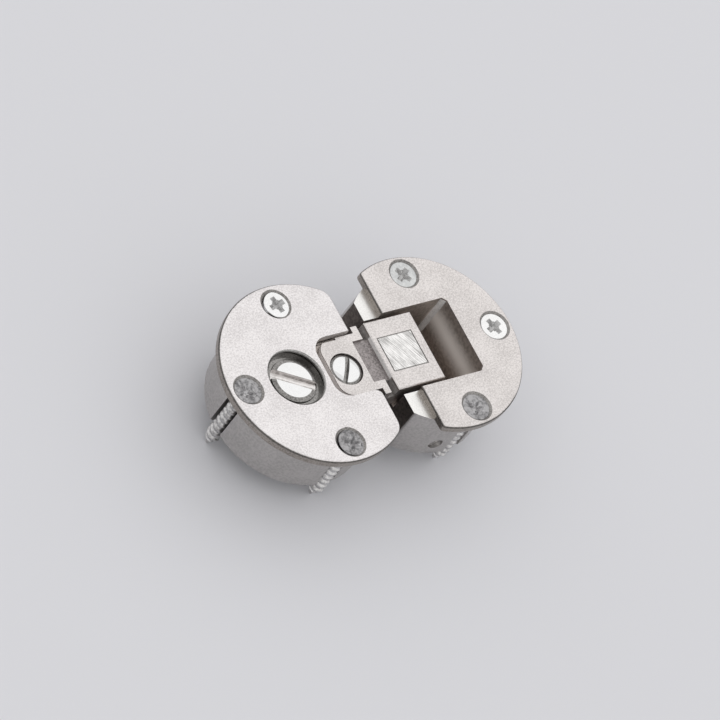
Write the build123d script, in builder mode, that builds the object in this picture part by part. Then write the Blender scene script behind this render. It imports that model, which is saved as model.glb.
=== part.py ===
"""Concealed flap hinge with two round cups and one arm, shown lying open and flat.

The origin is the base cup's centre on the panel's surface, which is the flange's underside.
+X points from the base cup to the flap cup, +Y runs along the pivot and +Z points out of the panels.
"""
import os
from math import acos, atan2, cos, degrees, hypot, radians, sin, sqrt

from build123d import *

os.makedirs("parts", exist_ok=True)

# Cups: round bodies that fill a drilled hole, with a flange that lies on the panel
cup_distance = 30.0
cup_radius = 17.5
cup_depth = 13.2
bottom_chamfer = 0.8
base_overhang = 3.1
flap_overhang = 2.5
flange_thickness = 1.65
rim_round = 0.45
base_chord = 12.8
base_corner_round = 3.5
base_setback = 0.8
base_wall = 1.8
flap_chord = 7.9
flap_corner_round = 0.8
flap_front = 11.6
top_plate_drop = 0.6

# Fixing screws: three in each cup, along open channels in the cup's wall
screw_length = 20.0
screw_radius = 1.75
screw_head_radius = 3.0
screw_head_sink = 0.4
screw_tip_length = 2.6
screw_hole_gap = 0.25
screw_seat_gap = 0.03
screw_boss_wall = 1.6
cross_span = 3.8
cross_wing = 1.05
cross_depth = 1.3
base_screw_inset = 1.2
base_screw_spread = 89.0
flap_screw_inset = 1.5
flap_screw_spread = 83.0
channel_run = 4.0

# Pivot: a pin along Y that the flap cup holds and the arm turns on
pivot_setback = 3.5
pin_radius = 1.5
pin_end_sink = 0.55
pin_end_chamfer = 0.225
pin_press_gap = 0.01
pin_running_gap = 0.05
knuckle_wall = 1.2
knuckle_side_gap = 0.15

# Pocket of the flap cup, which the arm swings into
pocket_half_width = 8.75
pocket_end_gap = 1.7
pocket_end_round = 2.5
pocket_corner_cut = 0.9
pocket_bottom_wall = 1.2
pocket_floor_gap = 0.3
front_wall = 1.6
front_wall_top = -5.0

# Recess and channel of the base cup, which the arm's tab and tail slide in
recess_end = 2.8
recess_half_width = 6.9
recess_corner_round = 3.5
recess_mouth_round = 2.0
channel_floor = -3.8
floor_thickness = 1.5
arm_travel = 1.0
slide_gap = 0.1

# Hinge arm
tab_side_gap = 0.4
tab_setback = 0.7
tab_top = 0.65
tab_lip = 1.15
tab_corner_round = 3.0
tab_relief_length = 4.8
tab_relief_width = 0.45
tail_thickness = 3.0
tail_end_wall = 1.65
neck_gap = 0.2
block_lead = 1.2
block_end_setback = 0.2
block_top = 1.1
arm_side_gap = 0.85
underside_lead = 1.0
groove_width = 1.7
groove_floor = -1.6
hollow_half_width = 4.8
hollow_floor = -0.15
arm_edge_round = 0.2
frame_margin = 1.0
frame_length = 8.8
frame_width = 8.0
frame_line = 0.25
frame_depth = 0.15

# Eccentric screw, which pushes the arm in and out
eccentric_x = -4.36
eccentric_head_radius = 5.0
eccentric_head_top = 0.55
eccentric_cone_width = 1.1
eccentric_cone_drop = 0.25
eccentric_slot_width = 2.1
eccentric_slot_depth = 0.9
eccentric_slot_angle = -32.0
eccentric_recess_gap = 1.0
eccentric_recess_chamfer = 0.4
cam_inset = 0.2
cam_offset = 1.3
cam_gap = 0.08
cam_end_gap = 0.3
journal_radius = 2.0
journal_gap = 0.05
journal_boss_wall = 2.15
journal_boss_drop = 2.7
journal_end = 1.2
ring_groove_depth = 0.5
ring_thickness = 0.65
ring_gap = 0.05
ring_overhang = 1.4
ring_mouth = 2.6

# Clamping screw and the plate that it pulls up against the floor of the base cup
clamp_setback = 3.7
clamp_y = -0.6
clamp_head_radius = 3.5
clamp_head_gap = 0.15
clamp_seat = -0.9
clamp_rim_top = 0.35
clamp_dome_top = 0.9
clamp_slot_width = 0.95
clamp_slot_depth = 0.75
clamp_slot_angle = 56.0
clamp_radius = 1.95
clamp_hole_gap = 0.1
clamp_end = 0.6
clamp_window_gap = 1.0
plate_length = 7.0
plate_width = 8.0
plate_thickness = 2.2
plate_corner_cut = 0.44
plate_gap = 0.05
plate_thread_gap = 0.03

# Cups and pivot: places that follow from the values above
flap_x = cup_distance
base_flange_radius = cup_radius + base_overhang
flap_flange_radius = cup_radius + flap_overhang
base_front = base_chord - base_setback
flap_front_x = flap_x - flap_front
base_screw_circle = cup_radius - base_screw_inset
flap_screw_circle = cup_radius - flap_screw_inset
sink_radius = screw_head_radius + screw_head_sink
screw_top = flange_thickness - screw_head_sink
screw_hole_radius = screw_radius + screw_hole_gap
knuckle_radius = pin_radius + knuckle_wall
pocket_floor = pocket_bottom_wall - cup_depth
pivot_x = flap_x - pivot_setback
pivot_z = pocket_floor + pocket_floor_gap + knuckle_radius
pin_length = 2 * (sqrt(cup_radius**2 - pivot_setback**2) - pin_end_sink)
pocket_end_x = pivot_x + block_top - pivot_z + pocket_end_gap

# Base cup's recess and the arm in it
channel_half_width = recess_half_width - tab_side_gap
channel_top = -top_plate_drop
floor_bottom = channel_floor - floor_thickness
tab_half_width = channel_half_width
tab_end = recess_end + arm_travel + slide_gap + tab_setback
tail_bottom = channel_floor + slide_gap
tail_top = tail_bottom + tail_thickness
tail_half_width = channel_half_width - slide_gap
neck_start = base_chord + arm_travel + neck_gap
hollow_start = base_chord

# Arm's block in the flap cup
block_start = flap_front_x - block_lead
block_end = pivot_x + knuckle_radius - block_end_setback
arm_half_width = pocket_half_width - arm_side_gap
underside_end = flap_front_x + front_wall + underside_lead
groove_start = block_start - groove_width
frame_start = block_start + frame_margin

# Eccentric and clamp
eccentric_recess_radius = eccentric_head_radius + eccentric_recess_gap
cam_radius = eccentric_head_radius - cam_inset - cam_offset
cam_slot_half_width = cam_radius + cam_gap
cam_slot_half_length = cam_radius + cam_offset + cam_end_gap
tail_end = eccentric_x - cam_slot_half_width - tail_end_wall
boss_bottom = floor_bottom - journal_boss_drop
ring_top = boss_bottom - 2 * ring_gap
ring_groove_radius = journal_radius - ring_groove_depth
ring_outer_radius = journal_radius + ring_overhang
clamp_x = tab_end + clamp_setback
plate_top = floor_bottom - plate_gap
clamp_window_half_width = plate_width / 2 + clamp_window_gap

# Longer than any piece, for cuts that go right through
far = 4 * base_flange_radius


def level(x, z):
    """Return the horizontal plane at height z whose origin is at x."""
    return Plane(origin=(x, 0, z))


def base_places(radius):
    """Return the places of the base cup's screws, on a circle of the given radius."""
    spread = base_screw_spread
    return PolarLocations(radius, 3, start_angle=180 - spread, angular_range=2 * spread, endpoint=True)


def flap_places(radius):
    """Return the places of the flap cup's screws about the cup's own centre."""
    spread = flap_screw_spread
    return PolarLocations(radius, 3, start_angle=-spread, angular_range=2 * spread, endpoint=True)


# Base cup: flange and body, each cut off straight on the side of the joint between the panels
with BuildPart() as base_cup:
    with BuildSketch(level(0, 0)):
        Circle(cup_radius)
        with Locations((base_front, 0)):
            Rectangle(far, far, align=(Align.MIN, Align.CENTER), mode=Mode.SUBTRACT)
    extrude(amount=-cup_depth)
    chamfer(base_cup.faces().sort_by(Axis.Z)[0].edges(), bottom_chamfer)
    with BuildSketch(level(0, 0)) as base_flange:
        Circle(base_flange_radius)
        with Locations((base_chord, 0)):
            Rectangle(far, far, align=(Align.MIN, Align.CENTER), mode=Mode.SUBTRACT)
        fillet(base_flange.vertices().sort_by(Axis.X)[-2:], base_corner_round)
    extrude(amount=flange_thickness)
    fillet(base_cup.faces().sort_by(Axis.Z)[-1].edges(), rim_round)

    # Recess for the arm's tab, open towards the flap cup
    with BuildSketch(level(0, channel_floor)) as tab_recess:
        with Locations((recess_end, 0)):
            Rectangle(far, 2 * recess_half_width, align=(Align.MIN, Align.CENTER))
        fillet(tab_recess.vertices().sort_by(Axis.X)[:2], recess_corner_round)
        with Locations((base_chord, -recess_half_width)):
            Rectangle(2 * recess_mouth_round, recess_mouth_round, align=(Align.CENTER, Align.MAX))
        with Locations((base_chord - recess_mouth_round, -recess_half_width - recess_mouth_round)):
            Circle(recess_mouth_round, mode=Mode.SUBTRACT)
    extrude(amount=flange_thickness - channel_floor, mode=Mode.SUBTRACT)

    # Guides beside the tab's lower half, and the channel for the tail under the flange
    with BuildSketch(level(0, channel_floor)):
        with Locations((recess_end, 0)):
            Rectangle(base_front - recess_end, 2 * recess_half_width, align=(Align.MIN, Align.CENTER))
    extrude(amount=channel_top - channel_floor)
    with BuildSketch(level(0, channel_floor)):
        with Locations((tail_end - arm_travel - slide_gap, 0)):
            Rectangle(far, 2 * channel_half_width, align=(Align.MIN, Align.CENTER))
    extrude(amount=channel_top - channel_floor, mode=Mode.SUBTRACT)

    # Hollow underside with bosses round the screws and the eccentric's journal
    with BuildSketch(level(0, boss_bottom)):
        Circle(cup_radius - base_wall)
        with Locations((base_front - base_wall, 0)):
            Rectangle(far, far, align=(Align.MIN, Align.CENTER), mode=Mode.SUBTRACT)
        with base_places(base_screw_circle):
            Circle(screw_hole_radius + screw_boss_wall, mode=Mode.SUBTRACT)
    extrude(amount=-far, mode=Mode.SUBTRACT)
    with BuildSketch(level(0, floor_bottom)):
        Circle(cup_radius - base_wall)
        with Locations((base_front - base_wall, 0)):
            Rectangle(far, far, align=(Align.MIN, Align.CENTER), mode=Mode.SUBTRACT)
        with base_places(base_screw_circle):
            Circle(screw_hole_radius + screw_boss_wall, mode=Mode.SUBTRACT)
        with Locations((eccentric_x, 0)):
            Circle(journal_radius + journal_gap + journal_boss_wall, mode=Mode.SUBTRACT)
    extrude(amount=boss_bottom - floor_bottom, mode=Mode.SUBTRACT)
    with BuildSketch(level(0, floor_bottom)):
        with Locations((clamp_x, clamp_y)):
            Rectangle(far, 2 * clamp_window_half_width, align=(Align.MIN, Align.CENTER))
    extrude(amount=-far, mode=Mode.SUBTRACT)

    # Holes for the eccentric screw and the slot for the clamping screw
    with Locations((eccentric_x, 0, flange_thickness)):
        CounterBoreHole(
            eccentric_head_radius + journal_gap,
            eccentric_recess_radius,
            flange_thickness,
            depth=flange_thickness - channel_floor - slide_gap,
        )
        Hole(journal_radius + journal_gap, depth=far)
    rim = base_cup.edges().filter_by(GeomType.CIRCLE).group_by(Axis.Z)[-1]
    chamfer([e for e in rim if abs(e.radius - eccentric_recess_radius) < 0.01], eccentric_recess_chamfer)
    with BuildSketch(level(clamp_x, floor_bottom)):
        with Locations((0, clamp_y)):
            SlotCenterToCenter(2 * arm_travel, 2 * (clamp_radius + clamp_hole_gap))
    extrude(amount=floor_thickness, mode=Mode.SUBTRACT)

    # Screw holes and their channels
    with Locations((0, 0, flange_thickness)):
        with base_places(base_screw_circle):
            CounterSinkHole(screw_hole_radius, sink_radius, depth=far, counter_sink_angle=90)
    with BuildSketch(level(0, 0)):
        with base_places(base_screw_circle + channel_run / 2):
            SlotCenterToCenter(channel_run, 2 * screw_hole_radius)
    extrude(amount=-far, mode=Mode.SUBTRACT)
base_cup.part.label = "base_cup"
export_step(base_cup.part, "parts/base_cup.step")

# Shape of the flap cup's pocket: its side view and its plan together
with BuildPart() as pocket:
    with BuildSketch(Plane.XZ) as pocket_side:
        with BuildLine():
            Polyline(
                (flap_front_x - flap_flange_radius, flap_flange_radius),
                (flap_front_x - flap_flange_radius, front_wall_top),
                (flap_front_x + front_wall, front_wall_top),
                (flap_front_x + front_wall, pocket_floor),
                (pocket_end_x, pocket_floor),
                (pocket_end_x, flap_flange_radius),
                close=True,
            )
        make_face()
        end_corner = pocket_side.vertices().group_by(Axis.Y)[0].sort_by(Axis.X)[-1]
        fillet(end_corner, pocket_end_round)
    extrude(amount=pocket_half_width, both=True)
    with BuildSketch(level(0, -far)) as pocket_plan:
        with Locations((pocket_end_x, 0)):
            Rectangle(far, 2 * pocket_half_width, align=(Align.MAX, Align.CENTER))
        chamfer(pocket_plan.vertices().sort_by(Axis.X)[-2:], pocket_corner_cut)
    extrude(amount=2 * far, mode=Mode.INTERSECT)

# Flap cup: the same kind of casting, with solid cheeks either side of the pocket
with BuildPart() as flap_cup:
    with BuildSketch(level(flap_x, 0)):
        Circle(cup_radius)
        with Locations((-flap_front, 0)):
            Rectangle(far, far, align=(Align.MAX, Align.CENTER), mode=Mode.SUBTRACT)
    extrude(amount=-cup_depth)
    chamfer(flap_cup.faces().sort_by(Axis.Z)[0].edges(), bottom_chamfer)
    with BuildSketch(level(flap_x, 0)) as flap_flange:
        Circle(flap_flange_radius)
        with Locations((-flap_chord, 0)):
            Rectangle(far, far, align=(Align.MAX, Align.CENTER), mode=Mode.SUBTRACT)
        fillet(flap_flange.vertices().sort_by(Axis.X)[:2], flap_corner_round)
    extrude(amount=flange_thickness)
    fillet(flap_cup.faces().sort_by(Axis.Z)[-1].edges(), rim_round)
    add(pocket.part, mode=Mode.SUBTRACT)
    with BuildSketch(Plane.XZ):
        with Locations((pivot_x, pivot_z)):
            Circle(pin_radius + pin_press_gap)
    extrude(amount=far, both=True, mode=Mode.SUBTRACT)
    with Locations((flap_x, 0, flange_thickness)):
        with flap_places(flap_screw_circle):
            CounterSinkHole(screw_hole_radius, sink_radius, depth=far, counter_sink_angle=90)
    with BuildSketch(level(flap_x, 0)):
        with flap_places(flap_screw_circle + channel_run / 2):
            SlotCenterToCenter(channel_run, 2 * screw_hole_radius)
    extrude(amount=-far, mode=Mode.SUBTRACT)
flap_cup.part.label = "flap_cup"
export_step(flap_cup.part, "parts/flap_cup.step")

# Hinge arm: tail and tab in the base cup, block and knuckle in the flap cup
with BuildPart() as hinge_arm:
    # Side view of the neck, block and knuckle; the underside runs at a tangent into the knuckle
    run = hypot(underside_end - pivot_x, front_wall_top - pivot_z)
    meet = degrees(atan2(front_wall_top - pivot_z, underside_end - pivot_x) + acos(knuckle_radius / run))
    touch = (pivot_x + knuckle_radius * cos(radians(meet)), pivot_z + knuckle_radius * sin(radians(meet)))
    with BuildSketch(Plane.XZ):
        with BuildLine():
            Polyline(
                touch,
                (underside_end, front_wall_top),
                (neck_start, front_wall_top),
                (neck_start, tab_top),
                (block_start, tab_top),
                (block_start, block_top),
                (block_end, block_top),
                (pivot_x + knuckle_radius, pivot_z),
            )
            CenterArc((pivot_x, pivot_z), knuckle_radius, 0, meet - 360)
        make_face()
    extrude(amount=arm_half_width, both=True)
    top_edges = hinge_arm.faces().filter_by(Axis.Z).sort_by(Axis.Z)[-1].edges()
    chamfer(top_edges, arm_edge_round)
    with BuildSketch(Plane.XZ):
        with Locations((pivot_x, pivot_z)):
            Circle(knuckle_radius)
    extrude(amount=pocket_half_width - knuckle_side_gap, both=True)

    # Tail, and the tab above it with its rounded end
    with BuildSketch(level(0, tail_bottom)):
        with Locations((tail_end, 0)):
            Rectangle(neck_start - tail_end, 2 * tail_half_width, align=(Align.MIN, Align.CENTER))
    extrude(amount=tail_thickness)
    with BuildSketch(level(0, tail_top)) as tab_core:
        with Locations((tab_end, 0)):
            Rectangle(neck_start - tab_end, 2 * tail_half_width, align=(Align.MIN, Align.CENTER))
        fillet(tab_core.vertices().sort_by(Axis.X)[:2], tab_corner_round)
    extrude(amount=tab_top - tail_top)
    with BuildSketch(level(0, tab_top)) as tab_plan:
        with Locations((tab_end, 0)):
            Rectangle(neck_start - tab_end, 2 * tab_half_width, align=(Align.MIN, Align.CENTER))
        fillet(tab_plan.vertices().sort_by(Axis.X)[:2], tab_corner_round)
    extrude(amount=-tab_lip)
    with BuildSketch(level(tab_end, tab_top)):
        with Locations((0, tab_half_width)):
            Rectangle(tab_relief_length, 2 * tab_relief_width, align=(Align.MIN, Align.CENTER))
    extrude(amount=-tab_lip, mode=Mode.SUBTRACT)

    # Cross groove at the block's foot, and the shallow hollow in its middle
    with BuildSketch(level(groove_start, groove_floor)):
        for side in (-1, 1):
            with Locations((0, side * hollow_half_width)):
                near_edge = Align.MIN if side > 0 else Align.MAX
                Rectangle(block_start - groove_start, far, align=(Align.MIN, near_edge))
    extrude(amount=tab_top - groove_floor, mode=Mode.SUBTRACT)
    with BuildSketch(level(hollow_start, hollow_floor)):
        Rectangle(block_start - hollow_start, 2 * hollow_half_width, align=(Align.MIN, Align.CENTER))
    extrude(amount=tab_top - hollow_floor, mode=Mode.SUBTRACT)

    # Bore for the pivot pin, slot for the cam and seat for the clamping screw
    with BuildSketch(Plane.XZ):
        with Locations((pivot_x, pivot_z)):
            Circle(pin_radius + pin_running_gap)
    extrude(amount=far, both=True, mode=Mode.SUBTRACT)
    with BuildSketch(level(eccentric_x, tail_bottom)):
        SlotOverall(2 * cam_slot_half_length, 2 * cam_slot_half_width, rotation=90)
    extrude(amount=tail_thickness, mode=Mode.SUBTRACT)
    with Locations((clamp_x, clamp_y, tab_top)):
        CounterBoreHole(
            clamp_radius + clamp_hole_gap,
            clamp_head_radius + clamp_head_gap,
            tab_top - clamp_seat,
            depth=far,
        )

    # Engraved frame on the block
    with BuildSketch(level(frame_start, block_top)):
        Rectangle(frame_length, frame_width, align=(Align.MIN, Align.CENTER))
        with Locations((frame_line, 0)):
            Rectangle(
                frame_length - 2 * frame_line,
                frame_width - 2 * frame_line,
                align=(Align.MIN, Align.CENTER),
                mode=Mode.SUBTRACT,
            )
    extrude(amount=-frame_depth, mode=Mode.SUBTRACT)
hinge_arm.part.label = "hinge_arm"
export_step(hinge_arm.part, "parts/hinge_arm.step")

# Pivot pin
with BuildPart() as pivot_pin:
    with BuildSketch(Plane.XZ):
        with Locations((pivot_x, pivot_z)):
            Circle(pin_radius)
    extrude(amount=pin_length / 2, both=True)
    chamfer(pivot_pin.edges().filter_by(GeomType.CIRCLE), pin_end_chamfer)
pivot_pin.part.label = "pivot_pin"
export_step(pivot_pin.part, "parts/pivot_pin.step")

# Eccentric screw: slotted head, cam set off towards -Y, and a grooved journal
with BuildPart() as eccentric_screw:
    with BuildSketch(level(eccentric_x, channel_top)):
        Circle(eccentric_head_radius)
    extrude(amount=eccentric_head_top - channel_top)
    head_face = eccentric_screw.faces().sort_by(Axis.Z)[-1]
    chamfer(head_face.edges(), eccentric_cone_width, eccentric_cone_drop, reference=head_face)
    with BuildSketch(level(eccentric_x, tail_bottom)):
        with Locations((0, -cam_offset)):
            Circle(cam_radius)
    extrude(amount=channel_top - tail_bottom)
    with BuildSketch(level(eccentric_x, tail_bottom)):
        Circle(journal_radius)
    extrude(amount=ring_top + ring_gap - tail_bottom)
    with BuildSketch(level(eccentric_x, ring_top + ring_gap)):
        Circle(ring_groove_radius)
    extrude(amount=-(ring_thickness + 2 * ring_gap))
    with BuildSketch(level(eccentric_x, ring_top - ring_thickness - ring_gap)):
        Circle(journal_radius)
    extrude(amount=-journal_end)
    with BuildSketch(level(eccentric_x, eccentric_head_top)):
        Rectangle(far, eccentric_slot_width, rotation=eccentric_slot_angle)
    extrude(amount=-eccentric_slot_depth, mode=Mode.SUBTRACT)
eccentric_screw.part.label = "eccentric_screw"
export_step(eccentric_screw.part, "parts/eccentric_screw.step")

# Retaining ring that snaps into the journal's groove
with BuildPart() as retaining_ring:
    with BuildSketch(level(eccentric_x, ring_top)):
        Circle(ring_outer_radius)
        Circle(ring_groove_radius + ring_gap, mode=Mode.SUBTRACT)
        Rectangle(far, ring_mouth, align=(Align.MAX, Align.CENTER), mode=Mode.SUBTRACT)
    extrude(amount=-ring_thickness)
retaining_ring.part.label = "retaining_ring"
export_step(retaining_ring.part, "parts/retaining_ring.step")

# Clamping screw with a domed, slotted head
with BuildPart() as clamp_screw:
    with BuildSketch(Plane(origin=(clamp_x, clamp_y, 0), x_dir=(1, 0, 0), z_dir=(0, -1, 0))):
        with BuildLine():
            shank_end = plate_top - plate_thickness - clamp_end
            Polyline(
                (0, clamp_dome_top),
                (0, shank_end),
                (clamp_radius, shank_end),
                (clamp_radius, clamp_seat),
                (clamp_head_radius, clamp_seat),
                (clamp_head_radius, clamp_rim_top),
            )
            dome_rise = clamp_dome_top - clamp_rim_top
            dome_radius = (clamp_head_radius**2 + dome_rise**2) / (2 * dome_rise)
            RadiusArc((clamp_head_radius, clamp_rim_top), (0, clamp_dome_top), -dome_radius)
        make_face()
    revolve(axis=Axis((clamp_x, clamp_y, 0), (0, 0, 1)))
    with BuildSketch(level(clamp_x, clamp_dome_top)):
        with Locations((0, clamp_y)):
            Rectangle(far, clamp_slot_width, rotation=clamp_slot_angle)
    extrude(amount=-clamp_slot_depth, mode=Mode.SUBTRACT)
clamp_screw.part.label = "clamp_screw"
export_step(clamp_screw.part, "parts/clamp_screw.step")

# Clamping plate under the floor of the base cup, threaded on the clamping screw
with BuildPart() as clamp_plate:
    with BuildSketch(level(clamp_x, plate_top)):
        with Locations((0, clamp_y)):
            Rectangle(plate_length, plate_width)
            Circle(clamp_radius + plate_thread_gap, mode=Mode.SUBTRACT)
    extrude(amount=-plate_thickness)
    chamfer(clamp_plate.edges().filter_by(Axis.Z), plate_corner_cut)
clamp_plate.part.label = "clamp_plate"
export_step(clamp_plate.part, "parts/clamp_plate.step")

# Fixing screws: each cup's places, with a name and the turn of the cross recess for each
base_turns = {
    180 - base_screw_spread: ("base_screw_far", 12.0),
    180: ("base_screw_left", 38.0),
    180 + base_screw_spread: ("base_screw_near", 64.0),
}
flap_turns = {
    -flap_screw_spread: ("flap_screw_near", 57.0),
    0: ("flap_screw_right", 20.0),
    flap_screw_spread: ("flap_screw_far", 33.0),
}
screw_rows = [(0, base_screw_circle, angle, name, turn) for angle, (name, turn) in base_turns.items()]
screw_rows += [(flap_x, flap_screw_circle, angle, name, turn) for angle, (name, turn) in flap_turns.items()]
for centre_x, circle, angle, name, turn in screw_rows:
    screw_x = centre_x + circle * cos(radians(angle))
    screw_y = circle * sin(radians(angle))
    head_radius = screw_head_radius - screw_seat_gap
    with BuildPart() as fixing_screw:
        with BuildSketch(Plane(origin=(screw_x, screw_y, 0), x_dir=(1, 0, 0), z_dir=(0, -1, 0))):
            with BuildLine():
                Polyline(
                    (0, screw_top),
                    (head_radius, screw_top),
                    (screw_radius, screw_top - (head_radius - screw_radius)),
                    (screw_radius, screw_top - screw_length + screw_tip_length),
                    (0, screw_top - screw_length),
                    close=True,
                )
            make_face()
        revolve(axis=Axis((screw_x, screw_y, 0), (0, 0, 1)))
        with BuildSketch(Plane(origin=(screw_x, screw_y, screw_top))):
            Rectangle(cross_span, cross_wing, rotation=turn)
            Rectangle(cross_span, cross_wing, rotation=turn + 90)
        extrude(amount=-cross_depth, mode=Mode.SUBTRACT)
    fixing_screw.part.label = name
    export_step(fixing_screw.part, f"parts/{name}.step")
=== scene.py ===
"""Concealed flap hinge, lying open and flat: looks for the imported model, in metres.

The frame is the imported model's own: the origin is the base cup's centre on the panel's surface,
+X points to the flap cup, +Y runs along the pivot and +Z points out of the panels.
"""
import logging
import math
from dataclasses import dataclass, field
from enum import Enum
from typing import Any, Sequence, Union

import bmesh
import bpy
from mathutils import Matrix, Vector


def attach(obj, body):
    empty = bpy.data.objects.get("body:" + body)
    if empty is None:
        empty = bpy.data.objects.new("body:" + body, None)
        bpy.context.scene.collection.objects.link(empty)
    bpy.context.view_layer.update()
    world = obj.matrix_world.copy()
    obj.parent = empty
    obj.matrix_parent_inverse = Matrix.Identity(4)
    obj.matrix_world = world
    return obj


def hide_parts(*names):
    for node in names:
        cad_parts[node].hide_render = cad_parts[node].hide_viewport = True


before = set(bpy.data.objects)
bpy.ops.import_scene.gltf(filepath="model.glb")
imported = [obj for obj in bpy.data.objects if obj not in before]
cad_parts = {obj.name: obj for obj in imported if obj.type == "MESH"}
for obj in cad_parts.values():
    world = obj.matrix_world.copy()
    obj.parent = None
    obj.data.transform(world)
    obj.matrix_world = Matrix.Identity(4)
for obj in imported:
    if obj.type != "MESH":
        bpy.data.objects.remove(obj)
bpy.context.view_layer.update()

LOG = logging.getLogger("flap_hinge")
MM = 0.001

Pair = tuple[float, float]
Triple = tuple[float, float, float]
Colour = Triple
ScrewPlace = tuple[str, float, float, float]

# Sizes that several pieces share, in millimetres
FAR = 60.0
CUP_BOTTOM = -14.0
RIM_TOP = 1.25
RIM_LINE_TOP = 1.56
FLANGE_TOP = 1.66
SINK_REACH = 3.6
ECCENTRIC_X = -4.36

# Distances for merging, in metres
TINY = 0.0005 * MM
WELD = 0.002 * MM

# Share of a noise below which a finish is all dark, and above which it is all light
MOTTLE_RANGE: Pair = (0.36, 0.62)


class Body(Enum):
    """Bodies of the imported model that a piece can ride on."""

    BASE = "base"
    ECCENTRIC = "eccentric"
    ARM = "arm"
    CLAMP = "clamp"
    FLAP = "flap"


class Slot(Enum):
    """Material slots of the record."""

    CAST_NICKEL = "cast_nickel"
    POLISHED_NICKEL = "polished_nickel"
    STEEL_PIN = "steel_pin"
    SPRING_STEEL = "spring_steel"
    ZINC_SCREW = "zinc_screw"


class Facing(Enum):
    """Ways that a face of a casting can look."""

    ANY = "any"
    UP = "up"
    SIDEWAYS = "sideways"


# Node trees

class Value:
    """A node's output socket that takes part in Python sums, for shaders and geometry alike."""

    def __init__(self, graph: "Graph", socket: bpy.types.NodeSocket) -> None:
        """Keep the socket and the graph that it belongs to."""
        self.graph = graph
        self.socket = socket

    def __add__(self, other: "Operand") -> "Value":
        """Return self + other."""
        return self.graph.maths("ADD", self, other)

    def __radd__(self, other: "Operand") -> "Value":
        """Return other + self."""
        return self.graph.maths("ADD", other, self)

    def __sub__(self, other: "Operand") -> "Value":
        """Return self - other."""
        return self.graph.maths("SUBTRACT", self, other)

    def __rsub__(self, other: "Operand") -> "Value":
        """Return other - self."""
        return self.graph.maths("SUBTRACT", other, self)

    def __mul__(self, other: "Operand") -> "Value":
        """Return self * other."""
        return self.graph.maths("MULTIPLY", self, other)

    def __rmul__(self, other: "Operand") -> "Value":
        """Return other * self."""
        return self.graph.maths("MULTIPLY", other, self)

    def __truediv__(self, other: "Operand") -> "Value":
        """Return self / other."""
        return self.graph.maths("DIVIDE", self, other)

    def clamped(self, low: "Operand" = 0.0, high: "Operand" = 1.0) -> "Value":
        """Return the value kept between low and high."""
        return self.graph.maths("MINIMUM", self.graph.maths("MAXIMUM", self, low), high)


Operand = Union[Value, int, float]


class Graph:
    """A node tree that is built up from Python, one node at a time."""

    def __init__(self, tree: bpy.types.NodeTree) -> None:
        """Keep the tree that new nodes go into."""
        self.tree = tree

    def node(
        self,
        kind: str,
        settings: dict[str, Any] | None = None,
        inputs: dict[Union[str, int], Any] | None = None,
    ) -> bpy.types.Node:
        """Add a node of any type.

        Args:
            kind: The node's type, such as "ShaderNodeTexNoise".
            settings: The node's own settings, such as a Math node's operation.
            inputs: A constant, a Value or a node's socket for each named or numbered input.

        Returns:
            The new node.
        """
        node = self.tree.nodes.new(kind)
        for name, setting in (settings or {}).items():
            setattr(node, name, setting)
        for name, value in (inputs or {}).items():
            socket = node.inputs[name]
            if isinstance(value, Value):
                self.tree.links.new(value.socket, socket)
            elif isinstance(value, bpy.types.NodeSocket):
                self.tree.links.new(value, socket)
            else:
                socket.default_value = value
        return node

    def value(
        self,
        kind: str,
        output: Union[str, int] = 0,
        settings: dict[str, Any] | None = None,
        inputs: dict[Union[str, int], Any] | None = None,
    ) -> Value:
        """Add a node and return one of its outputs as a Value."""
        return Value(self, self.node(kind, settings, inputs).outputs[output])

    def maths(self, operation: str, *values: Operand) -> Value:
        """Add a Math node for the operation on one, two or three values."""
        return self.value("ShaderNodeMath", 0, {"operation": operation}, dict(enumerate(values)))

    def smooth(self, value: Operand, start: float, end: float) -> Value:
        """Make a soft step.

        Args:
            value: What the step follows.
            start: Where it leaves 0.
            end: Where it reaches 1.

        Returns:
            0 below start, 1 above end and a smooth curve between them.
        """
        return self.value(
            "ShaderNodeMapRange",
            "Result",
            {"interpolation_type": "SMOOTHSTEP"},
            {"Value": value, "From Min": start, "From Max": end},
        )


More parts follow.
